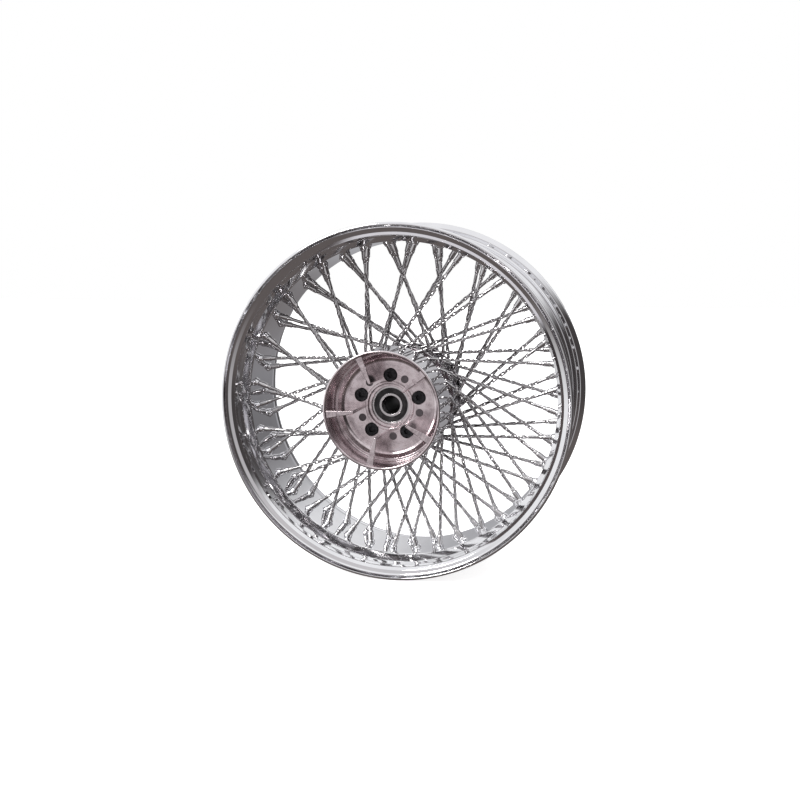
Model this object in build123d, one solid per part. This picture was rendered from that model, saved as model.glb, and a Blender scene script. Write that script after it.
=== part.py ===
"""Spoked motorcycle wheel with a cush-drive drum, in millimetres.

The wheel's axis is Y and its origin is the centre of the rim, with +Z up. The drum
side faces -Y and the brake side faces +Y. Two deep-groove ball bearings carry the hub;
their inner rings and the spacer tube between them stay still on the axle.
"""

import os
from math import cos, radians, sin

from build123d import *

os.makedirs("parts", exist_ok=True)

# Rim: an 18 x 7.00 drop-centre rim of steel sheet
BEAD_SEAT_R = 457.2 / 2
FLANGE_HEIGHT = 14.4
RIM_R = BEAD_SEAT_R + FLANGE_HEIGHT
FLANGE_HALF_GAP = 7.00 * 25.4 / 2
RIM_SHEET = 2.6
WELL_INNER_R = 217.4
WELL_HALF_WIDTH = 49.5
VALVE_HOLE_R = 4.25
VALVE_ANGLE = 88.05

# Lacing: 80 spokes, one every 4.5 degrees, in four sets of 20
SPOKES_PER_SET = 20
SPOKE_PITCH = 4.5
FIRST_SPOKE_ANGLE = 85.8
LACING_ANGLE = 45.0
SPOKE_R = 2.4
ELBOW_R = 3.5
SPOKE_END_R = 224.5
SPOKE_HEAD_R = 4.1
SPOKE_HEAD_HEIGHT = 1.9

# Nipples, measured along the spoke from the inner face of the well
NIPPLE_BODY_R = 4.1
NIPPLE_NECK_R = 3.0
NIPPLE_BORE_R = SPOKE_R + 0.06
NIPPLE_BODY_LENGTH = 17.0
NIPPLE_NECK_LENGTH = 5.5
NIPPLE_HEAD_R = 5.6
NIPPLE_HEAD_HEIGHT = 3.2
NIPPLE_SEAT = RIM_SHEET + 2.3
NIPPLE_HOLE_R = NIPPLE_BODY_R + 0.15
DIMPLE_R = 5.6

# Hub
FLANGE_THICKNESS = 6.0
NEAR_FLANGE_Y = -20.0
FAR_FLANGE_Y = 36.5
SPOKE_CIRCLE_R = 64.6
FLANGE_R = 71.0
HUB_BARREL_R = 43.0
HUB_NECK_R = 40.0
DRUM_PAD_Y = -89.0
DRUM_PAD_R = 54.0
PAD_THICKNESS = 23.0
BRAKE_PAD_Y = 90.0
BRAKE_PAD_R = 52.0
PILOT_R = 29.8
DRUM_PILOT_END_Y = -106.0
BRAKE_PILOT_END_Y = 94.0
HUB_BORE_R = 20.0
BOLT_CIRCLE_R = 3.25 * 25.4 / 2
FIRST_BOLT_ANGLE = 16.8
BRAKE_BOLT_HOLE_R = 4.0
BRAKE_BOLT_HOLE_DEPTH = 22.0

# Cush-drive drum
DRUM_R = 78.7
DRUM_FACE_Y = -158.8
DRUM_FLOOR_Y = -108.0
DRUM_WALL_R = 74.5
LEDGE_R = 70.2
LEDGE_Y = -115.0
FLOOR_FLAT_R = 60.0
BOSS_R = 33.0
BOSS_HEIGHT = 2.0
RIB_TOP_Y = -157.0
RIB_TIP_R = 37.0
RIB_TIP_WIDTH = 4.2
RIB_ROOT_WIDTH = 10.2
RIB_GROOVE_R = 59.0
RIB_GROOVE_WIDTH = 2.6
RIB_GROOVE_DEPTH = 1.2
FIRST_RIB_ANGLE = 41.8

# Drum fasteners: socket-head bolts in counterbores, and dowels beside them
BOLT_R = 7 / 16 * 25.4 / 2
BOLT_HEAD_R = 8.75
BOLT_HEAD_HEIGHT = 7.6
BOLT_LENGTH = 30.0
COUNTERBORE_R = 9.6
COUNTERBORE_DEPTH = 8.0
HEX_SOCKET_R = 4.6
HEX_SOCKET_DEPTH = 4.5
DOWEL_R = 5.2
DOWEL_OFFSET_ANGLE = -28.5
DOWEL_LENGTH = 30.0

# Bearings: 25 x 52 x 15 deep-groove ball bearings with rubber seals on both faces
BEARING_BORE_R = 12.5
BEARING_OUTER_R = 26.0
BEARING_WIDTH = 15.0
BALL_R = 7.938 / 2
BALL_CIRCLE_R = 19.5
BALL_COUNT = 9
RACE_CLEARANCE = 0.05
INNER_SHOULDER_R = 17.2
INNER_LAND_R = 15.7
OUTER_SHOULDER_R = 21.8
SEAL_SEAT_R = 23.1
SEAL_INNER_R = 15.9
SEAL_THICKNESS = 1.2
SEAL_RECESS = 0.4
SHOULDER_HALF_WIDTH = 5.4
CAGE_INNER_R = 18.4
CAGE_OUTER_R = 20.6
CAGE_HALF_WIDTH = 4.9
CAGE_POCKET_R = BALL_R + 0.13
BEARING_CENTRES_Y = {"left": -94.5, "right": 82.5}
SPACER_OUTER_R = 15.6


def polar(radius, angle, y=0.0):
    """A point at a radius and an angle in degrees about the axle, at height y."""
    return Vector(radius * cos(radians(angle)), y, radius * sin(radians(angle)))


def about_axle(angle):
    """A placement turned about the axle by an angle that grows from +X towards +Z."""
    return Rotation(0, -angle, 0)


def turned(outline, corner_radii=None):
    """Revolve a closed outline of (radius, y) points about the axle."""
    with BuildPart() as solid:
        with BuildSketch(Plane.XY):
            with BuildLine():
                if corner_radii is None:
                    Polyline(*outline, close=True)
                else:
                    FilletPolyline(*outline, radius=corner_radii, close=True)
            make_face()
        revolve(axis=Axis.Y)
    return solid.part


def along_axle(radius, y_start, y_end, centre=(0.0, 0.0), end_radius=None):
    """A cylinder, or a cone, parallel to the axle between two heights."""
    low, high = min(y_start, y_end), max(y_start, y_end)
    plane = Plane(origin=(centre[0], (low + high) / 2, centre[1]), x_dir=(1, 0, 0), z_dir=(0, 1, 0))
    if end_radius is None:
        return plane * Cylinder(radius, high - low)
    start_is_low = y_start < y_end
    bottom, top = (radius, end_radius) if start_is_low else (end_radius, radius)
    return plane * Cone(bottom, top, high - low)


def write(shape, node):
    """Write one sub-part, or one group of identical pieces, under its node's name."""
    shape.label = node
    export_step(shape, f"parts/{node}.step")


class SpokeSet:
    """Twenty spokes that share a flange, a lean and a row of rim holes."""

    def __init__(self, node, first_step, lean, flange_y, outside, clearance, rim_y):
        self.node = node
        self.first_angle = FIRST_SPOKE_ANGLE + first_step * SPOKE_PITCH
        self.lean = lean
        self.flange_y = flange_y
        self.face_side = 1 if outside == (flange_y > 0) else -1
        self.run_y = flange_y + self.face_side * (FLANGE_THICKNESS / 2 + SPOKE_R + clearance)
        self.rim_y = rim_y

    def angles(self):
        return [n * 360 / SPOKES_PER_SET for n in range(SPOKES_PER_SET)]

    def elbow(self):
        return polar(SPOKE_CIRCLE_R, self.first_angle + self.lean * LACING_ANGLE, self.run_y)

    def rim_point(self):
        return polar(WELL_INNER_R, self.first_angle, self.rim_y)

    def direction(self):
        return (self.rim_point() - self.elbow()).normalized()

    def head_face_y(self):
        return self.flange_y - self.face_side * FLANGE_THICKNESS / 2

    def along(self, distance):
        """A plane across the spoke, at a distance outwards from the rim's well."""
        return Plane(origin=self.rim_point() + self.direction() * distance, z_dir=self.direction())


SPOKE_SETS = [
    SpokeSet("spokes_drum_side_outer", 0, 1, NEAR_FLANGE_Y, True, 0.4, -23.9),
    SpokeSet("spokes_drum_side_inner", 2, -1, NEAR_FLANGE_Y, False, 0.7, -19.1),
    SpokeSet("spokes_brake_side_inner", 1, 1, FAR_FLANGE_Y, False, 0.5, 19.1),
    SpokeSet("spokes_brake_side_outer", 3, -1, FAR_FLANGE_Y, True, 1.3, 23.9),
]


def repeat_about_axle(piece, angles):
    return Compound(children=[about_axle(angle) * piece for angle in angles])


def rim_half_outline():
    """Half of the rim's section as (radius, y, corner radius), from the well outwards."""
    well_outer_r = WELL_INNER_R + RIM_SHEET
    flange_outside = FLANGE_HALF_GAP + RIM_SHEET
    lip_y = flange_outside + 6.2
    return [
        (WELL_INNER_R, WELL_HALF_WIDTH, 4.0),
        (BEAD_SEAT_R - 3.9, 66.0, 5.0),
        (BEAD_SEAT_R - RIM_SHEET, flange_outside - 4.0, 1.6),
        (BEAD_SEAT_R + 1.6, flange_outside - 0.8, 1.5),
        (RIM_R - 6.6, flange_outside + 1.2, 6.0),
        (RIM_R - 3.4, lip_y, 0.9),
        (RIM_R, lip_y - 0.8, 2.2),
        (RIM_R, lip_y - 5.4, 2.4),
        (RIM_R - 6.6, FLANGE_HALF_GAP, 5.0),
        (BEAD_SEAT_R, FLANGE_HALF_GAP, 3.4),
        (BEAD_SEAT_R - 1.4, 65.0, 4.0),
        (well_outer_r, 48.9, 5.0),
    ]


def rim_section():
    right_half = rim_half_outline()
    left_half = [(radius, -y, corner) for radius, y, corner in reversed(right_half)]
    points = right_half + left_half
    return [(r, y) for r, y, _ in points], [corner for _, _, corner in points]


def make_rim():
    """The chromed rim: a rolled section with a dimple and a hole for every nipple."""
    outline, corners = rim_section()
    rim = turned(outline, corners)
    well_outside = Cylinder(WELL_INNER_R + RIM_SHEET, 2 * WELL_HALF_WIDTH, rotation=(90, 0, 0))
    dimples = []
    holes = []
    for spokes in SPOKE_SETS:
        dimple = spokes.along(0.6) * Sphere(DIMPLE_R) & well_outside
        hole = spokes.along(0) * Cylinder(NIPPLE_HOLE_R, 30)
        dimples += [about_axle(angle) * dimple for angle in spokes.angles()]
        holes += [about_axle(angle) * hole for angle in spokes.angles()]
    valve_plane = Plane(origin=polar(WELL_INNER_R, VALVE_ANGLE), z_dir=polar(1, VALVE_ANGLE))
    holes.append(valve_plane * Cylinder(VALVE_HOLE_R, 20))
    return rim.fuse(*dimples).cut(*holes)


def make_spoke(spokes):
    """One spoke: a straight wire, an elbow into its flange and a countersunk head."""
    elbow = spokes.elbow()
    head_face = Vector(elbow.X, spokes.head_face_y(), elbow.Z)
    wire_end = spokes.rim_point() + spokes.direction() * (SPOKE_END_R - WELL_INNER_R)
    with BuildPart() as wire:
        with BuildLine() as route:
            FilletPolyline(wire_end, elbow, head_face, radius=ELBOW_R)
        with BuildSketch(Plane(origin=route.line @ 0, z_dir=route.line % 0)):
            Circle(SPOKE_R)
        sweep()
    neck_y = head_face.Y + spokes.face_side * SPOKE_HEAD_HEIGHT
    head = along_axle(SPOKE_HEAD_R, head_face.Y, neck_y, (elbow.X, elbow.Z), SPOKE_R)
    return wire.part + head


def make_nipple(spokes):
    """One nipple: a conical head outside the well, a round body and a slimmer neck."""
    body_length = NIPPLE_SEAT + NIPPLE_BODY_LENGTH
    body = spokes.along(NIPPLE_SEAT - body_length / 2) * Cylinder(NIPPLE_BODY_R, body_length)
    neck = spokes.along(-NIPPLE_BODY_LENGTH - NIPPLE_NECK_LENGTH / 2) * Cylinder(
        NIPPLE_NECK_R, NIPPLE_NECK_LENGTH
    )
    head = spokes.along(NIPPLE_SEAT + NIPPLE_HEAD_HEIGHT / 2) * Cone(
        NIPPLE_HEAD_R, NIPPLE_BODY_R, NIPPLE_HEAD_HEIGHT
    )
    bore = spokes.along(-NIPPLE_BODY_LENGTH) * Cylinder(NIPPLE_BORE_R, 80)
    return body + neck + head - bore


def hub_outline():
    """The hub's outside and its stepped bearing bore, as (radius, y) points."""
    near_out, near_in = NEAR_FLANGE_Y - FLANGE_THICKNESS / 2, NEAR_FLANGE_Y + FLANGE_THICKNESS / 2
    far_in, far_out = FAR_FLANGE_Y - FLANGE_THICKNESS / 2, FAR_FLANGE_Y + FLANGE_THICKNESS / 2
    drum_shoulder = BEARING_CENTRES_Y["left"] + BEARING_WIDTH / 2
    brake_shoulder = BEARING_CENTRES_Y["right"] - BEARING_WIDTH / 2
    return [
        (BEARING_OUTER_R, DRUM_PILOT_END_Y),
        (PILOT_R, DRUM_PILOT_END_Y),
        (PILOT_R, DRUM_PAD_Y),
        (DRUM_PAD_R, DRUM_PAD_Y),
        (DRUM_PAD_R, DRUM_PAD_Y + PAD_THICKNESS),
        (HUB_NECK_R, DRUM_PAD_Y + PAD_THICKNESS + 14),
        (HUB_NECK_R, near_out - 16),
        (SPOKE_CIRCLE_R - 10, near_out),
        (FLANGE_R, near_out),
        (FLANGE_R, near_in),
        (SPOKE_CIRCLE_R - 10, near_in),
        (HUB_BARREL_R, near_in + 12),
        (HUB_BARREL_R, far_in - 12),
        (SPOKE_CIRCLE_R - 10, far_in),
        (FLANGE_R, far_in),
        (FLANGE_R, far_out),
        (SPOKE_CIRCLE_R - 10, far_out),
        (HUB_NECK_R, far_out + 16),
        (HUB_NECK_R, BRAKE_PAD_Y - PAD_THICKNESS - 8),
        (BRAKE_PAD_R, BRAKE_PAD_Y - PAD_THICKNESS),
        (BRAKE_PAD_R, BRAKE_PAD_Y),
        (PILOT_R, BRAKE_PAD_Y),
        (PILOT_R, BRAKE_PILOT_END_Y),
        (BEARING_OUTER_R, BRAKE_PILOT_END_Y),
        (BEARING_OUTER_R, brake_shoulder),
        (HUB_BORE_R, brake_shoulder),
        (HUB_BORE_R, drum_shoulder),
        (BEARING_OUTER_R, drum_shoulder),
    ]


def hub_corner_radii():
    """Corner radii of the hub's outline: small on machined edges, large in the necks."""
    edge, machined, neck = 1.0, 0.0, 8.0
    pilot = [0.0, 0.8, machined]
    drum_pad = [edge, 2.0, neck]
    near_flange = [neck, 3.0, edge, edge, 3.0]
    barrel = [6.0, 6.0]
    far_flange = [3.0, edge, edge, 3.0, neck]
    brake_pad = [6.0, 2.0, edge, machined, 0.8]
    bore = [0.0] * 5
    return pilot + drum_pad + near_flange + barrel + far_flange + brake_pad + bore


def drum_bolt_places():
    return [polar(BOLT_CIRCLE_R, FIRST_BOLT_ANGLE + 72 * n) for n in range(5)]


def dowel_places():
    first = FIRST_BOLT_ANGLE + DOWEL_OFFSET_ANGLE
    return [polar(BOLT_CIRCLE_R, first + 72 * n) for n in range(5)]


def make_hub():
    """The hub: a barrel with two drilled spoke flanges and a bolting pad at each end."""
    hub = turned(hub_outline(), hub_corner_radii())
    cuts = []
    for spokes in SPOKE_SETS:
        elbow = spokes.elbow()
        centre = (elbow.X, elbow.Z)
        head_y = spokes.head_face_y()
        run_face_y = head_y + spokes.face_side * FLANGE_THICKNESS
        drilling = along_axle(SPOKE_R + 0.35, head_y, run_face_y, centre)
        countersink_depth = SPOKE_HEAD_HEIGHT + 0.4
        countersink = along_axle(
            SPOKE_HEAD_R + 0.4, head_y, head_y + spokes.face_side * countersink_depth, centre, SPOKE_R + 0.3
        )
        hole = drilling + countersink
        cuts += [about_axle(angle) * hole for angle in spokes.angles()]
    bolt_bottom = DRUM_PAD_Y + BOLT_LENGTH - (DRUM_PAD_Y - DRUM_FLOOR_Y - COUNTERBORE_DEPTH)
    for place in drum_bolt_places():
        cuts.append(along_axle(BOLT_R, DRUM_PAD_Y, bolt_bottom + 1, (place.X, place.Z)))
        cuts.append(
            along_axle(BRAKE_BOLT_HOLE_R, BRAKE_PAD_Y, BRAKE_PAD_Y - BRAKE_BOLT_HOLE_DEPTH, (place.X, place.Z))
        )
    dowel_bottom = DRUM_FLOOR_Y + DOWEL_LENGTH
    for place in dowel_places():
        cuts.append(along_axle(DOWEL_R, DRUM_PAD_Y, dowel_bottom, (place.X, place.Z)))
    return hub.cut(*cuts)


def drum_shell():
    """The drum's cup: a thick base, a filleted ledge and a plain cylindrical wall."""
    outline = [
        (PILOT_R + 0.1, DRUM_PAD_Y),
        (DRUM_R, DRUM_PAD_Y),
        (DRUM_R, DRUM_FACE_Y),
        (DRUM_WALL_R, DRUM_FACE_Y),
        (DRUM_WALL_R - 0.6, LEDGE_Y),
        (LEDGE_R, LEDGE_Y),
        (FLOOR_FLAT_R + 3.5, DRUM_FLOOR_Y),
        (BOSS_R, DRUM_FLOOR_Y),
        (BOSS_R, DRUM_FLOOR_Y - BOSS_HEIGHT),
        (PILOT_R + 0.1, DRUM_FLOOR_Y - BOSS_HEIGHT),
    ]
    corners = [0.0, 2.0, 1.9, 1.9, 1.6, 0.8, 9.0, 0.6, 0.5, 0.4]
    return turned(outline, corners)


def make_rib():
    """One rib of the cush drive, tapered to a rounded tip, with a groove across its top."""
    tip, root = RIB_TIP_WIDTH / 2, RIB_ROOT_WIDTH / 2
    wall = DRUM_WALL_R + 0.5
    plane = Plane(origin=(0, DRUM_FLOOR_Y + 2, 0), x_dir=(1, 0, 0), z_dir=(0, -1, 0))
    with BuildPart() as rib:
        with BuildSketch(plane):
            with BuildLine():
                Line((wall, -root), (RIB_TIP_R + tip, -tip))
                ThreePointArc((RIB_TIP_R + tip, -tip), (RIB_TIP_R, 0), (RIB_TIP_R + tip, tip))
                Line((RIB_TIP_R + tip, tip), (wall, root))
                Line((wall, root), (wall, -root))
            make_face()
        extrude(amount=DRUM_FLOOR_Y + 2 - RIB_TOP_Y)
        top_face = rib.faces().sort_by(Axis.Y)[0]
        fillet(top_face.edges(), 0.8)
    groove = Pos(RIB_GROOVE_R, RIB_TOP_Y, 0) * Box(RIB_GROOVE_WIDTH, 2 * RIB_GROOVE_DEPTH, 2 * RIB_ROOT_WIDTH)
    return rib.part - groove


def make_cush_drum():
    """The machined cush-drive drum with five ribs, bolt counterbores and dowel holes."""
    rib = make_rib()
    ribs = [about_axle(FIRST_RIB_ANGLE + 72 * n) * rib for n in range(5)]
    drum = drum_shell().fuse(*ribs)
    cuts = []
    for place in drum_bolt_places():
        centre = (place.X, place.Z)
        cuts.append(along_axle(BOLT_R + 0.3, DRUM_PAD_Y, DRUM_FLOOR_Y, centre))
        cuts.append(
            along_axle(COUNTERBORE_R, DRUM_FLOOR_Y + COUNTERBORE_DEPTH, DRUM_FLOOR_Y - BOSS_HEIGHT - 1, centre)
        )
    for place in dowel_places():
        cuts.append(along_axle(DOWEL_R, DRUM_PAD_Y, DRUM_FLOOR_Y - 1, (place.X, place.Z)))
    return drum.cut(*cuts)


def make_drum_bolt(place):
    """A socket-head bolt through the drum's base into the hub."""
    seat_y = DRUM_FLOOR_Y + COUNTERBORE_DEPTH
    head_top = seat_y - BOLT_HEAD_HEIGHT
    centre = (place.X, place.Z)
    head = along_axle(BOLT_HEAD_R, seat_y, head_top, centre)
    rim_edge = head.faces().sort_by(Axis.Y)[0].edges()
    head = chamfer(rim_edge, 0.7)
    shank = along_axle(BOLT_R, seat_y, seat_y + BOLT_LENGTH, centre)
    socket_plane = Plane(origin=(place.X, head_top, place.Z), x_dir=(1, 0, 0), z_dir=(0, 1, 0))
    socket = extrude(socket_plane * RegularPolygon(HEX_SOCKET_R, 6), HEX_SOCKET_DEPTH)
    return head + shank - socket


def make_dowel(place):
    """A round dowel that locks the drum to the hub, flush with the drum's floor."""
    pin = along_axle(DOWEL_R, DRUM_FLOOR_Y, DRUM_FLOOR_Y + DOWEL_LENGTH, (place.X, place.Z))
    return chamfer(pin.edges().filter_by(GeomType.CIRCLE), 0.5)


def raceway(centre_y):
    """The torus that the balls run in, cut from both rings of a bearing."""
    plane = Plane(origin=(0, centre_y, 0), x_dir=(1, 0, 0), z_dir=(0, 1, 0))
    return plane * Torus(BALL_CIRCLE_R, BALL_R + RACE_CLEARANCE)


def make_outer_ring(centre_y):
    half = BEARING_WIDTH / 2
    ring = turned(
        [
            (BEARING_OUTER_R, centre_y - half),
            (BEARING_OUTER_R, centre_y + half),
            (SEAL_SEAT_R, centre_y + half),
            (SEAL_SEAT_R, centre_y + SHOULDER_HALF_WIDTH),
            (OUTER_SHOULDER_R, centre_y + SHOULDER_HALF_WIDTH),
            (OUTER_SHOULDER_R, centre_y - SHOULDER_HALF_WIDTH),
            (SEAL_SEAT_R, centre_y - SHOULDER_HALF_WIDTH),
            (SEAL_SEAT_R, centre_y - half),
        ],
        [0.8, 0.8, 0.3, 0.0, 0.3, 0.3, 0.0, 0.3],
    )
    return ring - raceway(centre_y)


def make_inner_ring(centre_y):
    half = BEARING_WIDTH / 2
    ring = turned(
        [
            (BEARING_BORE_R, centre_y - half),
            (INNER_LAND_R, centre_y - half),
            (INNER_LAND_R, centre_y - SHOULDER_HALF_WIDTH),
            (INNER_SHOULDER_R, centre_y - SHOULDER_HALF_WIDTH),
            (INNER_SHOULDER_R, centre_y + SHOULDER_HALF_WIDTH),
            (INNER_LAND_R, centre_y + SHOULDER_HALF_WIDTH),
            (INNER_LAND_R, centre_y + half),
            (BEARING_BORE_R, centre_y + half),
        ],
        [0.6, 0.3, 0.0, 0.3, 0.3, 0.0, 0.3, 0.6],
    )
    return ring - raceway(centre_y)


def make_balls(centre_y):
    balls = [Pos(*polar(BALL_CIRCLE_R, n * 360 / BALL_COUNT, centre_y)) * Sphere(BALL_R) for n in range(BALL_COUNT)]
    return Compound(children=balls)


def make_cage(centre_y):
    """The cage: one ring between the races, with a pocket around every ball."""
    ring = turned(
        [
            (CAGE_INNER_R, centre_y - CAGE_HALF_WIDTH),
            (CAGE_OUTER_R, centre_y - CAGE_HALF_WIDTH),
            (CAGE_OUTER_R, centre_y + CAGE_HALF_WIDTH),
            (CAGE_INNER_R, centre_y + CAGE_HALF_WIDTH),
        ]
    )
    pocket = Pos(*polar(BALL_CIRCLE_R, 0, centre_y)) * Cylinder(CAGE_POCKET_R, 8, rotation=(0, 90, 0))
    for n in range(BALL_COUNT):
        ring -= about_axle(n * 360 / BALL_COUNT) * pocket
    return ring


def make_seal(centre_y, side):
    """A rubber seal pressed into the outer ring, on the side given by -1 or +1."""
    outer_y = centre_y + side * (BEARING_WIDTH / 2 - SEAL_RECESS)
    inner_y = outer_y - side * SEAL_THICKNESS
    low, high = min(inner_y, outer_y), max(inner_y, outer_y)
    return turned(
        [(SEAL_INNER_R, low), (SEAL_SEAT_R, low), (SEAL_SEAT_R, high), (SEAL_INNER_R, high)],
        [0.25, 0.25, 0.25, 0.25],
    )


def make_axle_spacer():
    """The tube that keeps the two inner rings apart."""
    start = BEARING_CENTRES_Y["left"] + BEARING_WIDTH / 2
    end = BEARING_CENTRES_Y["right"] - BEARING_WIDTH / 2
    return turned(
        [(BEARING_BORE_R, start), (SPACER_OUTER_R, start), (SPACER_OUTER_R, end), (BEARING_BORE_R, end)]
    )


def main():
    write(make_rim(), "rim")
    for spokes in SPOKE_SETS:
        write(repeat_about_axle(make_spoke(spokes), spokes.angles()), spokes.node)
        nipples = repeat_about_axle(make_nipple(spokes), spokes.angles())
        write(nipples, spokes.node.replace("spokes", "nipples"))
    write(make_hub(), "hub_body")
    write(make_cush_drum(), "cush_drum")
    write(Compound(children=[make_drum_bolt(place) for place in drum_bolt_places()]), "drum_bolts")
    write(Compound(children=[make_dowel(place) for place in dowel_places()]), "drum_dowels")
    for side, centre_y in BEARING_CENTRES_Y.items():
        write(make_outer_ring(centre_y), f"{side}_bearing_outer_ring")
        write(make_inner_ring(centre_y), f"{side}_bearing_inner_ring")
        write(make_balls(centre_y), f"{side}_bearing_balls")
        write(make_cage(centre_y), f"{side}_bearing_cage")
        write(make_seal(centre_y, -1), f"{side}_bearing_drum_side_seal")
        write(make_seal(centre_y, 1), f"{side}_bearing_brake_side_seal")
    write(make_axle_spacer(), "axle_spacer")


main()
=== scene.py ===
"""Looks of the spoked motorcycle wheel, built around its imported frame, in metres."""
import math
import random

import bmesh
import bpy
from mathutils import Matrix, Vector


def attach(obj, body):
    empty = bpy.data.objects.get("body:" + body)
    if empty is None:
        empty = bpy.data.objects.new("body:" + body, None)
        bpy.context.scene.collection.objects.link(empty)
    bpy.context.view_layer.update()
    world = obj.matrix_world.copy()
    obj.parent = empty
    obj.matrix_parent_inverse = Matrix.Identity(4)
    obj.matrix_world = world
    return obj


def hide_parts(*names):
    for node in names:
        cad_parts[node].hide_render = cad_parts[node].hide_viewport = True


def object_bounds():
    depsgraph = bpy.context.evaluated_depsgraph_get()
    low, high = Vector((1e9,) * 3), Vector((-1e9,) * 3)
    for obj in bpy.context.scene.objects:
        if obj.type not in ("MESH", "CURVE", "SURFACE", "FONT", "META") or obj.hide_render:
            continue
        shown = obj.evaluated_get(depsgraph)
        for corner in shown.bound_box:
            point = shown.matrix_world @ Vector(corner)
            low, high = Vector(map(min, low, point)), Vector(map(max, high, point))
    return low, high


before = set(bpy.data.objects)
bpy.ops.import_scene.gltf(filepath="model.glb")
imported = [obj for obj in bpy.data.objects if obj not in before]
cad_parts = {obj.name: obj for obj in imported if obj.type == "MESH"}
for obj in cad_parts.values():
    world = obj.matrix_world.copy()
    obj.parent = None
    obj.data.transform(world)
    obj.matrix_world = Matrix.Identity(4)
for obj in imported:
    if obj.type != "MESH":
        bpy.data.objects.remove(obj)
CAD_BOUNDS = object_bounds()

random.seed(18)
MM = 0.001
WHEEL = "wheel"

# Camera
AZIMUTH = math.radians(12.74)
ELEVATION = math.radians(7.57)
CAMERA_DISTANCE = 1.773
LENS_MM = 56.28
SHIFT_X = -0.0096
SHIFT_Y = -0.0060

# Rim section, in millimetres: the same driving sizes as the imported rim
BEAD_SEAT_R = 457.2 / 2
RIM_R = BEAD_SEAT_R + 14.4
FLANGE_HALF_GAP = 88.9
RIM_SHEET = 2.6
WELL_R = 217.4
WELL_HALF_WIDTH = 49.5
RIM_STEPS = 480

# Lacing
FIRST_SPOKE_ANGLE = 85.8
SPOKE_PITCH = 4.5
LACING_ANGLE = 45.0
SPOKES_PER_SET = 20
SPOKE_CIRCLE_R = 64.6
FLANGE_THICKNESS = 6.0
NEAR_FLANGE_Y = -20.0
FAR_FLANGE_Y = 36.5
SPOKE_R = 2.4
SPOKE_HALF_SQUARE = 2.1
SPOKE_CORNER_R = 0.9
TWIST_PITCH = 58.0
ELBOW_R = 3.5
HEAD_R = 4.1
HEAD_HEIGHT = 1.9
WIRE_PAST_WELL = 6.0
ROUND_PAST_NIPPLE = 11.0
ROUND_BEFORE_ELBOW = 8.0
ROUND_TO_SQUARE = 6.0
ROUTE_STEP = 1.5
BEND_STEPS = 7
WIRE_SIDES = 16

# Nipples, along the spoke from the inner face of the well
NIPPLE_BODY_R = 4.1
NIPPLE_BODY_LENGTH = 17.0
NIPPLE_NECK_R = 3.0
NIPPLE_NECK_LENGTH = 5.5
NIPPLE_SEAT = RIM_SHEET + 2.3
NIPPLE_HEAD_R = 5.6
NIPPLE_HEAD_HEIGHT = 3.2

# Plain studio light: softboxes overhead and to the left, grey walls, darker to the right and below
SOFTBOX = (0.94, 0.94, 0.95)
WALL = (0.40, 0.40, 0.42)
FRONT_WALL = (0.62, 0.60, 0.61)
DARK_SIDE = (0.060, 0.054, 0.054)
DARK_FLOOR = (0.125, 0.108, 0.104)
KEY_PLACE = (-1.2, -1.8, 1.6)
KEY_SIZE = 1.0
KEY_POWER = 40.0
KEY_COLOUR = (1.0, 0.99, 0.97)
FLOOR_HALF_SIZE = 6.0
FLOOR_GAP = 0.0005

# The drum is plated outside this radius, and the hub beyond this height: the rest is turned
DRUM_PLATED_R = 78.0
HUB_PLATED_Y = -99.0
PLATING_EDGE_WIDTH = 0.4
# The turned colours carry a pink tint: a painted reflection of warm surroundings, laid over the metal's own
# random tone
TURNED_DARK_PINK_REFLECTION = (0.34, 0.285, 0.30)
TURNED_LIGHT_PINK_REFLECTION = (0.79, 0.70, 0.72)

# Bearing seals
BEARING_HALF_WIDTH = 7.5
BEARING_CENTRES_Y = {"left": -94.5, "right": 82.5}


def polar(radius, angle, y=0.0):
    """A point in millimetres at a radius and an angle about the axle."""
    turn = math.radians(angle)
    return Vector((radius * math.cos(turn), y, radius * math.sin(turn)))


def smooth_step(low, high, value):
    t = min(1.0, max(0.0, (value - low) / (high - low)))
    return t * t * (3 - 2 * t)


# ---------------------------------------------------------------- meshes


class MeshBuilder:
    """Collects vertices in millimetres and faces, and makes one smooth-shaded object."""

    def __init__(self):
        self.points = []
        self.faces = []

    def rings(self, rings, closed=False, caps=True):
        """Join rings of equally many points. closed also joins the last ring to the first."""
        size = len(rings[0])
        start = len(self.points)
        for ring in rings:
            self.points.extend(ring)
        count = len(rings)
        for i in range(count if closed else count - 1):
            a = start + i * size
            b = start + (i + 1) % count * size
            for j in range(size):
                k = (j + 1) % size
                self.faces.append((a + j, a + k, b + k, b + j))
        if caps and not closed:
            self.faces.append(tuple(start + j for j in reversed(range(size))))
            last = start + (count - 1) * size
            self.faces.append(tuple(last + j for j in range(size)))

    def build(self, name, material, body, replaced, sharp_angle=40):
        mesh = bpy.data.meshes.new(name)
        mesh.from_pydata([point * MM for point in self.points], [], self.faces)
        mesh.validate()
        fix_normals(mesh)
        mesh.polygons.foreach_set("use_smooth", [True] * len(mesh.polygons))
        mesh.set_sharp_from_angle(angle=math.radians(sharp_angle))
        mesh.materials.append(material)
        piece = bpy.data.objects.new(name, mesh)
        bpy.context.collection.objects.link(piece)
        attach(piece, body)
        if replaced:
            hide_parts(*replaced)
        return piece


def fix_normals(mesh):
    work = bmesh.new()
    work.from_mesh(mesh)
    bmesh.ops.recalc_face_normals(work, faces=work.faces)
    work.to_mesh(mesh)
    work.free()


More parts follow.
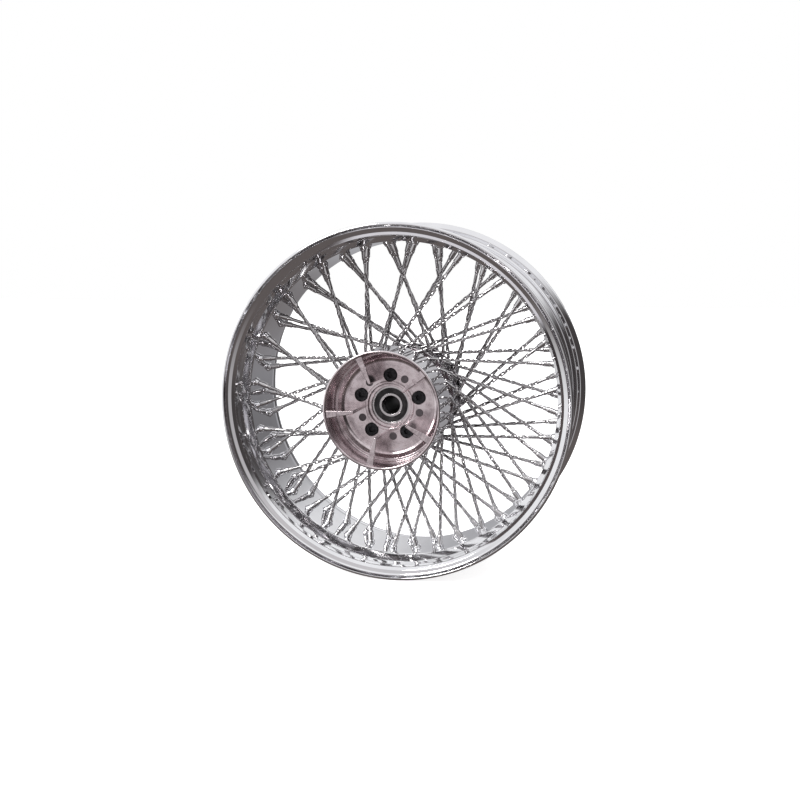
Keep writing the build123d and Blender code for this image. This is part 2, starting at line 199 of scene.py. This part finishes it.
def rounded(corners, arc_steps=7, support=0.25):
    """A closed outline with rounded corners from (a, b, radius) points, as (a, b) pairs."""
    outline = []
    count = len(corners)
    for i, (a, b, radius) in enumerate(corners):
        here = Vector((a, b))
        before = Vector(corners[i - 1][:2]) - here
        after = Vector(corners[(i + 1) % count][:2]) - here
        if radius == 0:
            outline.append((a, b))
            continue
        turn = before.angle(after)
        reach = radius / math.tan(turn / 2)
        start = here + before.normalized() * reach
        end = here + after.normalized() * reach
        bisector = (before.normalized() + after.normalized()).normalized()
        centre = here + bisector * (radius / math.sin(turn / 2))
        outline.append(tuple(start + before.normalized() * support))
        from_centre, to_end = start - centre, end - centre
        sweep = from_centre.angle_signed(to_end)
        for step in range(arc_steps + 1):
            spin = Matrix.Rotation(-sweep * step / arc_steps, 2)
            outline.append(tuple(centre + spin @ from_centre))
        outline.append(tuple(end + after.normalized() * support))
    return outline


def lathe_about_axle(builder, outline, steps):
    """Turn a closed outline of (radius, y) pairs about the axle."""
    rings = []
    for step in range(steps):
        angle = 360 * step / steps
        rings.append([polar(radius, angle, y) for radius, y in outline])
    builder.rings(rings, closed=True)


def lathe_along(builder, base, direction, profile, steps=24):
    """Turn an open profile of (distance, radius) pairs about a line, capped at both ends."""
    side = direction.orthogonal().normalized()
    other = direction.cross(side)
    rings = []
    for distance, radius in profile:
        ring = []
        for step in range(steps):
            angle = 2 * math.pi * step / steps
            outwards = side * math.cos(angle) + other * math.sin(angle)
            ring.append(base + direction * distance + outwards * radius)
        rings.append(ring)
    builder.rings(rings)


# ---------------------------------------------------------------- node materials


class Shader:
    """A node material in the making, with short calls for the nodes it uses."""

    def __init__(self, name):
        self.material = bpy.data.materials.new(name)
        self.material.use_nodes = True
        self.tree = self.material.node_tree
        self.surface = self.tree.nodes["Principled BSDF"]

    def node(self, kind, **settings):
        made = self.tree.nodes.new(kind)
        for key, value in settings.items():
            setattr(made, key, value)
        return made

    def link(self, source, target):
        self.tree.links.new(source, target)

    def set(self, **values):
        for key, value in values.items():
            socket = self.surface.inputs[key.replace("_", " ")]
            socket.default_value = (*value, 1.0) if isinstance(value, tuple) else value

    def object_position(self):
        return self.node("ShaderNodeTexCoord").outputs["Object"]

    def math(self, operation, first, second=0.0):
        made = self.node("ShaderNodeMath", operation=operation)
        for socket, value in zip(made.inputs, (first, second)):
            if isinstance(value, (int, float)):
                socket.default_value = value
            else:
                self.link(value, socket)
        return made.outputs[0]

    def blend(self, first, second, share):
        """share of the first value and the rest of the second."""
        rest = self.math("MULTIPLY", second, 1 - share)
        return self.math("ADD", self.math("MULTIPLY", first, share), rest)

    def colour(self, source):
        self.link(source, self.surface.inputs["Base Color"])

    def roughness(self, source):
        self.link(source, self.surface.inputs["Roughness"])

    def noise(self, vector, scale, detail=4.0, roughness=0.55):
        made = self.node("ShaderNodeTexNoise")
        made.inputs["Scale"].default_value = scale
        made.inputs["Detail"].default_value = detail
        made.inputs["Roughness"].default_value = roughness
        self.link(vector, made.inputs["Vector"])
        return made.outputs["Fac"]

    def scaled(self, vector, scale):
        made = self.node("ShaderNodeMapping")
        made.inputs["Scale"].default_value = scale
        self.link(vector, made.inputs["Vector"])
        return made.outputs["Vector"]

    def ranged(self, value, low, high, to_low, to_high):
        made = self.node("ShaderNodeMapRange")
        self.link(value, made.inputs["Value"])
        for key, number in (("From Min", low), ("From Max", high), ("To Min", to_low), ("To Max", to_high)):
            made.inputs[key].default_value = number
        return made.outputs["Result"]

    def ramp(self, value, stops):
        made = self.node("ShaderNodeValToRGB")
        elements = made.color_ramp.elements
        while len(elements) < len(stops):
            elements.new(0.5)
        for element, (position, colour) in zip(elements, stops):
            element.position = position
            element.color = (*colour, 1.0)
        self.link(value, made.inputs["Fac"])
        return made.outputs["Color"]

    def bump(self, height, strength, distance):
        made = self.node("ShaderNodeBump")
        made.inputs["Strength"].default_value = strength
        made.inputs["Distance"].default_value = distance
        self.link(height, made.inputs["Height"])
        self.link(made.outputs["Normal"], self.surface.inputs["Normal"])

    def ring_position(self):
        """(radius, y, 0) about the axle, so that a texture runs round the wheel as a lathe cuts."""
        parts = self.node("ShaderNodeSeparateXYZ")
        self.link(self.object_position(), parts.inputs[0])
        x, y, z = parts.outputs
        squares = self.math("ADD", self.math("MULTIPLY", x, x), self.math("MULTIPLY", z, z))
        joined = self.node("ShaderNodeCombineXYZ")
        self.link(self.math("SQRT", squares), joined.inputs[0])
        self.link(y, joined.inputs[1])
        return joined.outputs[0]


def chrome(name, colour, roughness, wear):
    """Chrome plate: a mirror with faint waviness, smears of polish and fine scratches."""
    shader = Shader(name)
    shader.set(Metallic=1.0)
    place = shader.object_position()
    smears = shader.noise(place, 38.0, 6.0)
    low = tuple(channel * (1 - wear) for channel in colour)
    shader.colour(shader.ramp(smears, [(0.30, low), (0.62, colour)]))
    scratches = shader.noise(shader.scaled(place, (900.0, 140.0, 900.0)), 1.0, 3.0)
    mixed = shader.math("ADD", smears, shader.math("MULTIPLY", scratches, 0.35))
    shader.roughness(shader.ranged(mixed, 0.45, 0.95, roughness, roughness * 2.2))
    ripple = shader.noise(place, 24.0, 2.0)
    shader.bump(ripple, 0.05, 0.0006)
    return shader.material


def turned_metal(name, colour, dark, roughness, line_scale, line_depth):
    """Turned metal: fine tool lines round the axle, with handling marks over them."""
    shader = Shader(name)
    shader.set(Metallic=1.0)
    rings = shader.ring_position()
    lines = shader.noise(rings, line_scale, 3.0, 0.7)
    blotches = shader.noise(shader.object_position(), 45.0, 6.0, 0.6)
    mixed = shader.blend(lines, blotches, 0.45)
    shader.colour(shader.ramp(mixed, [(0.34, dark), (0.60, colour)]))
    shader.roughness(shader.ranged(mixed, 0.3, 0.7, roughness * 1.35, roughness * 0.8))
    shader.bump(lines, 0.15, line_depth)
    return shader.material


def part_plated(name, component, edge, plate):
    """Turned aluminium, chrome plated beyond an edge.

    component is 0 where the edge is a radius about the axle, and 1 where it is a height along it.
    """
    shader = Shader(name)
    shader.set(Metallic=1.0)
    rings = shader.ring_position()
    parts = shader.node("ShaderNodeSeparateXYZ")
    shader.link(rings, parts.inputs[0])
    plated = shader.ranged(parts.outputs[component], (edge - PLATING_EDGE_WIDTH) * MM, edge * MM, 0.0, 1.0)
    turned = shader.math("SUBTRACT", 1.0, plated)
    lines = shader.noise(rings, 1900.0, 3.0, 0.7)
    blotches = shader.noise(shader.object_position(), 48.0, 7.0, 0.62)
    mixed = shader.blend(lines, blotches, 0.35)
    lifted = shader.math("ADD", mixed, shader.math("MULTIPLY", plated, 0.4))
    # The two turned stops are tinted pink as a painted reflection; the plated stop is the plate's own
    # colour
    stops = [(0.36, TURNED_DARK_PINK_REFLECTION), (0.54, TURNED_LIGHT_PINK_REFLECTION), (0.76, plate)]
    shader.colour(shader.ramp(lifted, stops))
    dull = shader.ranged(mixed, 0.3, 0.7, 0.17, 0.08)
    shader.roughness(shader.math("ADD", shader.math("MULTIPLY", dull, turned), 0.04))
    shader.bump(shader.math("MULTIPLY", lines, turned), 0.12, 0.00010)
    return shader.material


def dark_metal(name, colour, roughness):
    """Blackened steel: dull film, a little rubbed in places."""
    shader = Shader(name)
    shader.set(Metallic=0.75)
    film = shader.noise(shader.object_position(), 420.0, 5.0, 0.65)
    rubbed = tuple(min(1.0, channel * 2.6 + 0.01) for channel in colour)
    shader.colour(shader.ramp(film, [(0.42, colour), (0.72, rubbed)]))
    shader.roughness(shader.ranged(film, 0.3, 0.7, roughness * 1.2, roughness * 0.85))
    shader.bump(film, 0.25, 0.0001)
    return shader.material


def rubber(name, colour):
    """Moulded rubber: matt, finely grained, with faint dust."""
    shader = Shader(name)
    shader.set(Specular_IOR_Level=0.25)
    place = shader.object_position()
    grain = shader.noise(place, 2600.0, 3.0, 0.6)
    dust = shader.noise(place, 90.0, 5.0, 0.6)
    dusty = tuple(channel * 2.2 + 0.012 for channel in colour)
    shader.colour(shader.ramp(dust, [(0.45, colour), (0.75, dusty)]))
    shader.roughness(shader.ranged(grain, 0.3, 0.7, 0.42, 0.62))
    shader.bump(grain, 0.3, 0.00006)
    return shader.material


RIM_CHROME = chrome("rim_chrome", (0.86, 0.86, 0.88), 0.035, 0.05)
# Spoke chrome is set darker than the rim's chrome: painted shade for the darker look of the spokes, with
# random polish smears over it
SPOKE_CHROME_PAINTED_SHADE = chrome("spoke_chrome", (0.60, 0.59, 0.60), 0.06, 0.26)
NIPPLE_CHROME = chrome("nipple_chrome", (0.68, 0.67, 0.68), 0.04, 0.16)
HUB_CHROME = part_plated("hub_chrome", 1, HUB_PLATED_Y, (0.68, 0.66, 0.68))
DRUM_ALUMINIUM = part_plated("drum_aluminium", 0, DRUM_PLATED_R, (0.78, 0.76, 0.78))
BEARING_STEEL = turned_metal("bearing_steel", (0.70, 0.68, 0.69), (0.52, 0.50, 0.51), 0.20, 4200.0, 0.00006)
SPACER_STEEL = turned_metal("spacer_steel", (0.16, 0.15, 0.15), (0.08, 0.08, 0.08), 0.42, 1500.0, 0.00010)
CAGE_STEEL = turned_metal("cage_steel", (0.52, 0.49, 0.44), (0.36, 0.33, 0.29), 0.34, 2600.0, 0.00008)
BALL_STEEL = chrome("ball_steel", (0.82, 0.82, 0.83), 0.03, 0.03)
BLACK_OXIDE = dark_metal("black_oxide", (0.016, 0.016, 0.018), 0.42)
# The dowels are coloured dark grey: painted shade for the shadowed bottoms of their holes, over random
# turned tone
DOWEL_STEEL_PAINTED_SHADE = turned_metal("dowel_steel", (0.19, 0.17, 0.18), (0.11, 0.10, 0.105), 0.46, 2400.0, 0.00010)
SEAL_RUBBER = rubber("seal_rubber", (0.014, 0.013, 0.014))

NODE_MATERIALS = {
    "rim": RIM_CHROME,
    "spokes": SPOKE_CHROME_PAINTED_SHADE,
    "nipples": NIPPLE_CHROME,
    "hub": HUB_CHROME,
    "cush": DRUM_ALUMINIUM,
    "drum_bolts": BLACK_OXIDE,
    "drum_dowels": DOWEL_STEEL_PAINTED_SHADE,
    "axle": SPACER_STEEL,
}
BEARING_MATERIALS = {"ring": BEARING_STEEL, "balls": BALL_STEEL, "cage": CAGE_STEEL, "seal": SEAL_RUBBER}


def dress_frame():
    """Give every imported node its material."""
    for node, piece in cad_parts.items():
        material = None
        for key, candidate in {**NODE_MATERIALS, **BEARING_MATERIALS}.items():
            if node.startswith(key) or node.endswith(key):
                material = candidate
        for index in range(len(piece.material_slots)):
            piece.material_slots[index].material = material


# ---------------------------------------------------------------- rim


def rim_half_outline():
    """Half of the rim's section as (radius, y, corner radius), with the soft folds of rolled sheet."""
    flange_outside = FLANGE_HALF_GAP + RIM_SHEET
    lip_y = flange_outside + 6.2
    return [
        (WELL_R, WELL_HALF_WIDTH, 13.0),
        (BEAD_SEAT_R - 3.9, 66.0, 13.0),
        (BEAD_SEAT_R - 3.1, 75.5, 7.0),
        (BEAD_SEAT_R - 3.6, 80.5, 6.0),
        (BEAD_SEAT_R - RIM_SHEET, flange_outside - 4.0, 1.6),
        (BEAD_SEAT_R + 1.6, flange_outside - 0.8, 1.5),
        (RIM_R - 6.6, flange_outside + 1.2, 6.0),
        (RIM_R - 3.4, lip_y, 0.9),
        (RIM_R, lip_y - 0.8, 2.2),
        (RIM_R, lip_y - 5.4, 2.4),
        (RIM_R - 6.6, FLANGE_HALF_GAP, 5.0),
        (BEAD_SEAT_R, FLANGE_HALF_GAP, 3.4),
        (BEAD_SEAT_R - 1.4, 65.0, 4.0),
        (WELL_R + RIM_SHEET, 48.9, 5.0),
    ]


class SpokeSet:
    """Twenty spokes that share a flange, a lean and a row of rim holes."""

    def __init__(self, name, first_step, lean, flange_y, outside, clearance, rim_y):
        self.name = name
        self.first_angle = FIRST_SPOKE_ANGLE + first_step * SPOKE_PITCH
        self.lean = lean
        self.flange_y = flange_y
        self.face_side = 1 if outside == (flange_y > 0) else -1
        self.run_y = flange_y + self.face_side * (FLANGE_THICKNESS / 2 + SPOKE_R + clearance)
        self.rim_y = rim_y

    def lines(self):
        """(elbow corner, point where the spoke meets the well) for each spoke."""
        for n in range(SPOKES_PER_SET):
            angle = self.first_angle + 360 * n / SPOKES_PER_SET
            hub = polar(SPOKE_CIRCLE_R, angle + self.lean * LACING_ANGLE, self.run_y)
            yield hub, polar(WELL_R, angle, self.rim_y)

    def head_face_y(self):
        return self.flange_y - self.face_side * FLANGE_THICKNESS / 2


SPOKE_SETS = [
    SpokeSet("drum_side_outer", 0, 1, NEAR_FLANGE_Y, True, 0.4, -23.9),
    SpokeSet("drum_side_inner", 2, -1, NEAR_FLANGE_Y, False, 0.7, -19.1),
    SpokeSet("brake_side_inner", 1, 1, FAR_FLANGE_Y, False, 0.5, 19.1),
    SpokeSet("brake_side_outer", 3, -1, FAR_FLANGE_Y, True, 1.3, 23.9),
]


def make_rim():
    """The rolled rim, with a raised collar round every nipple."""
    builder = MeshBuilder()
    right_half = rim_half_outline()
    left_half = [(radius, -y, corner) for radius, y, corner in reversed(right_half)]
    lathe_about_axle(builder, rounded(right_half + left_half, arc_steps=9), RIM_STEPS)
    collar_outside = [(1.6, 6.6), (0.4, 6.3), (-0.8, 5.75), (-2.2, 5.6), (-3.4, 5.45), (-4.1, 5.1)]
    collar_inside = [(-4.4, 4.7), (-4.3, 4.25), (-2.0, 4.2), (1.6, 4.2)]
    collar = collar_outside + collar_inside
    for spokes in SPOKE_SETS:
        for hub, rim in spokes.lines():
            lathe_along(builder, rim, (rim - hub).normalized(), collar, steps=28)
    return builder.build("rim_shell", RIM_CHROME, WHEEL, ["rim"])


# ---------------------------------------------------------------- spokes


def square_radius(angle):
    """Distance from the centre of a rounded square to its edge at an angle."""
    turn = (angle + math.pi / 4) % (math.pi / 2) - math.pi / 4
    flat = SPOKE_HALF_SQUARE / math.cos(turn)
    inner = (SPOKE_HALF_SQUARE - SPOKE_CORNER_R) * math.sqrt(2)
    off = math.pi / 4 - abs(turn)
    corner = inner * math.cos(off) + math.sqrt(max(0.0, SPOKE_CORNER_R**2 - (inner * math.sin(off)) ** 2))
    return min(flat, corner)


def spoke_route(hub, rim, spokes):
    """Points and directions from the rim end, round the elbow, to the head's face."""
    outwards = (rim - hub).normalized()
    end = rim + outwards * WIRE_PAST_WELL
    axial = Vector((0, -spokes.face_side, 0))
    turn = outwards.angle(axial)
    reach = ELBOW_R / math.tan(turn / 2)
    start = hub + outwards * reach
    length = (end - start).length
    steps = int(length / ROUTE_STEP)
    route = [(end + (start - end) * i / steps, -outwards) for i in range(steps + 1)]
    bend = math.pi - turn
    normal = (axial + outwards * math.cos(bend)).normalized()
    centre = start + normal * ELBOW_R
    bend_axis = (-outwards).cross(axial).normalized()
    for i in range(1, BEND_STEPS + 1):
        spin = Matrix.Rotation(bend * i / BEND_STEPS, 3, bend_axis)
        route.append((centre + spin @ (start - centre), spin @ (-outwards)))
    face = Vector((hub.x, spokes.head_face_y(), hub.z))
    return route, face, axial, length


def make_spokes(spokes):
    """Twisted square wire, round by the nipple and at the elbow, with a countersunk head."""
    builder = MeshBuilder()
    square_from = NIPPLE_BODY_LENGTH + NIPPLE_NECK_LENGTH + WIRE_PAST_WELL + ROUND_PAST_NIPPLE
    for hub, rim in spokes.lines():
        route, face, axial, length = spoke_route(hub, rim, spokes)
        square_to = length - ROUND_BEFORE_ELBOW
        phase = random.uniform(0, math.pi / 2)
        across = route[0][1].orthogonal().normalized()
        previous = route[0][1]
        travelled = 0.0
        rings = []
        last = route[0][0]
        for point, direction in route:
            travelled += (point - last).length
            last = point
            across = previous.rotation_difference(direction) @ across
            previous = direction
            other = direction.cross(across)
            square = smooth_step(square_from, square_from + ROUND_TO_SQUARE, travelled)
            square *= 1 - smooth_step(square_to - ROUND_TO_SQUARE, square_to, travelled)
            twist = phase + 2 * math.pi * travelled / TWIST_PITCH
            ring = []
            for side in range(WIRE_SIDES):
                angle = 2 * math.pi * side / WIRE_SIDES
                radius = SPOKE_R + (square_radius(angle) - SPOKE_R) * square
                spun = angle + twist
                ring.append(point + (across * math.cos(spun) + other * math.sin(spun)) * radius)
            rings.append(ring)
        for distance, radius in ((HEAD_HEIGHT, SPOKE_R), (0.25, HEAD_R), (0.0, HEAD_R - 0.3)):
            centre = face - axial * distance
            other = axial.cross(across)
            ring = []
            for side in range(WIRE_SIDES):
                spun = 2 * math.pi * side / WIRE_SIDES + twist
                ring.append(centre + (across * math.cos(spun) + other * math.sin(spun)) * radius)
            rings.append(ring)
        builder.rings(rings)
    node = f"spokes_{spokes.name}"
    return builder.build(f"{node}_wire", SPOKE_CHROME_PAINTED_SHADE, WHEEL, [node], sharp_angle=50)


def make_nipples(spokes):
    """Nipples with a rounded shoulder, a slim neck and a head on the tyre side."""
    builder = MeshBuilder()
    body_end = -NIPPLE_BODY_LENGTH
    neck_end = body_end - NIPPLE_NECK_LENGTH
    profile = [
        (NIPPLE_SEAT + NIPPLE_HEAD_HEIGHT, 2.6),
        (NIPPLE_SEAT + NIPPLE_HEAD_HEIGHT, NIPPLE_BODY_R - 0.3),
        (NIPPLE_SEAT + NIPPLE_HEAD_HEIGHT - 0.4, NIPPLE_BODY_R + 0.2),
        (NIPPLE_SEAT + 0.5, NIPPLE_HEAD_R),
        (NIPPLE_SEAT, NIPPLE_HEAD_R - 0.2),
        (NIPPLE_SEAT, NIPPLE_BODY_R),
        (-4.0, NIPPLE_BODY_R),
        (-5.2, NIPPLE_BODY_R),
        (body_end + 1.6, NIPPLE_BODY_R - 0.05),
        (body_end + 0.7, NIPPLE_BODY_R - 0.25),
        (body_end + 0.1, NIPPLE_BODY_R - 0.8),
        (body_end - 0.5, NIPPLE_NECK_R + 0.1),
        (body_end - 1.4, NIPPLE_NECK_R),
        (neck_end + 0.5, NIPPLE_NECK_R - 0.05),
        (neck_end, NIPPLE_NECK_R - 0.4),
        (neck_end, SPOKE_R + 0.05),
    ]
    for hub, rim in spokes.lines():
        lathe_along(builder, rim, (rim - hub).normalized(), profile, steps=24)
    node = f"nipples_{spokes.name}"
    return builder.build(f"{node}_set", NIPPLE_CHROME, WHEEL, [node])


# ---------------------------------------------------------------- seals


def make_seal(side, face):
    """A bearing seal with a moulded groove and two raised rings on its outer face."""
    direction = -1 if face == "drum" else 1
    node = f"{side}_bearing_{face}_side_seal"
    outside = BEARING_CENTRES_Y[side] + direction * (BEARING_HALF_WIDTH - 0.4)
    heights = [
        (15.9, -1.1, 0.1), (15.9, -0.2, 0.2), (16.6, 0.0, 0.2), (17.3, -0.1, 0.2), (17.7, -0.45, 0.2),
        (19.4, -0.45, 0.2), (19.8, -0.15, 0.2), (20.4, -0.15, 0.2), (20.8, -0.5, 0.2), (22.0, -0.5, 0.2),
        (22.4, -0.1, 0.2), (23.05, -0.1, 0.2), (23.05, -1.1, 0.2),
    ]
    outline = [(radius, outside + direction * depth, corner) for radius, depth, corner in heights]
    builder = MeshBuilder()
    lathe_about_axle(builder, rounded(outline, arc_steps=3, support=0.05), 144)
    return builder.build(f"{node}_moulding", SEAL_RUBBER, WHEEL, [node])


# ---------------------------------------------------------------- studio


def make_camera():
    back = Vector(
        (
            math.sin(AZIMUTH) * math.cos(ELEVATION),
            -math.cos(AZIMUTH) * math.cos(ELEVATION),
            math.sin(ELEVATION),
        )
    )
    data = bpy.data.cameras.new("camera")
    data.lens = LENS_MM
    data.sensor_width = 36.0
    data.shift_x = SHIFT_X
    data.shift_y = SHIFT_Y
    camera = bpy.data.objects.new("camera", data)
    camera.location = back * CAMERA_DISTANCE
    camera.rotation_euler = back.to_track_quat("Z", "Y").to_euler()
    bpy.context.collection.objects.link(camera)
    bpy.context.scene.camera = camera


def make_floor():
    """A plain pale floor just under the wheel."""
    mesh = bpy.data.meshes.new("floor")
    size = FLOOR_HALF_SIZE
    height = CAD_BOUNDS[0][2] - FLOOR_GAP
    corners = [(-size, -size, height), (size, -size, height), (size, size, height), (-size, size, height)]
    mesh.from_pydata(corners, [], [(0, 1, 2, 3)])
    shader = Shader("floor_white")
    shader.set(Base_Color=(0.95, 0.95, 0.95), Roughness=0.9)
    shader.set(Emission_Color=(1.0, 1.0, 1.0), Emission_Strength=0.8)
    mesh.materials.append(shader.material)
    floor = bpy.data.objects.new("floor", mesh)
    floor.visible_glossy = False
    bpy.context.collection.objects.link(floor)


def make_world():
    """A plain soft studio for the chrome to mirror, neutral in colour."""
    world = bpy.data.worlds.new("studio")
    world.use_nodes = True
    bpy.context.scene.world = world
    tree = world.node_tree
    tree.nodes.clear()

    def node(kind, **settings):
        made = tree.nodes.new(kind)
        for key, value in settings.items():
            setattr(made, key, value)
        return made

    # x, y and z say which way a mirrored ray goes: right, behind the wheel, and up
    direction = node("ShaderNodeSeparateXYZ")
    tree.links.new(node("ShaderNodeTexCoord").outputs["Generated"], direction.inputs[0])
    x, y, z = direction.outputs

    def step(value, low, high):
        made = node("ShaderNodeMapRange", interpolation_type="SMOOTHSTEP")
        tree.links.new(value, made.inputs["Value"])
        made.inputs["From Min"].default_value = low
        made.inputs["From Max"].default_value = high
        return made.outputs["Result"]

    def product(first, second):
        made = node("ShaderNodeMath", operation="MULTIPLY")
        tree.links.new(first, made.inputs[0])
        tree.links.new(second, made.inputs[1])
        return made.outputs[0]

    def mix(factor, first, second):
        made = node("ShaderNodeMix", data_type="RGBA")
        tree.links.new(factor, made.inputs["Factor"])
        colours = [socket for socket in made.inputs if socket.type == "RGBA"]
        for socket, value in zip(colours, (first, second)):
            if isinstance(value, tuple):
                socket.default_value = (*value, 1.0)
            else:
                tree.links.new(value, socket)
        return [socket for socket in made.outputs if socket.type == "RGBA"][0]

    room = mix(step(z, 0.02, 0.50), WALL, SOFTBOX)
    room = mix(step(x, -0.25, -0.60), room, SOFTBOX)
    room = mix(step(y, -0.80, -0.97), room, FRONT_WALL)
    room = mix(product(step(x, 0.10, 0.55), step(z, 0.60, 0.30)), room, DARK_SIDE)
    room = mix(step(z, -0.12, -0.42), room, DARK_FLOOR)
    studio = node("ShaderNodeBackground")
    tree.links.new(room, studio.inputs["Color"])
    backdrop = node("ShaderNodeBackground")
    backdrop.inputs["Color"].default_value = (1.0, 1.0, 1.0, 1.0)
    choose = node("ShaderNodeMixShader")
    tree.links.new(node("ShaderNodeLightPath").outputs["Is Camera Ray"], choose.inputs[0])
    tree.links.new(studio.outputs[0], choose.inputs[1])
    tree.links.new(backdrop.outputs[0], choose.inputs[2])
    tree.links.new(choose.outputs[0], node("ShaderNodeOutputWorld").inputs["Surface"])


def make_light(name, place, size, power, colour):
    """A soft area light aimed at the wheel's centre."""
    data = bpy.data.lights.new(name, "AREA")
    data.shape = "DISK"
    data.size = size
    data.energy = power
    data.color = colour
    light = bpy.data.objects.new(name, data)
    light.location = place
    light.rotation_euler = Vector(place).to_track_quat("Z", "Y").to_euler()
    bpy.context.collection.objects.link(light)


def main():
    dress_frame()
    make_rim()
    for spokes in SPOKE_SETS:
        make_spokes(spokes)
        make_nipples(spokes)
    for side in BEARING_CENTRES_Y:
        for face in ("drum", "brake"):
            make_seal(side, face)
    make_camera()
    make_world()
    make_floor()
    make_light("key_light", KEY_PLACE, KEY_SIZE, KEY_POWER, KEY_COLOUR)
    bpy.context.scene.view_settings.view_transform = "Standard"


main()
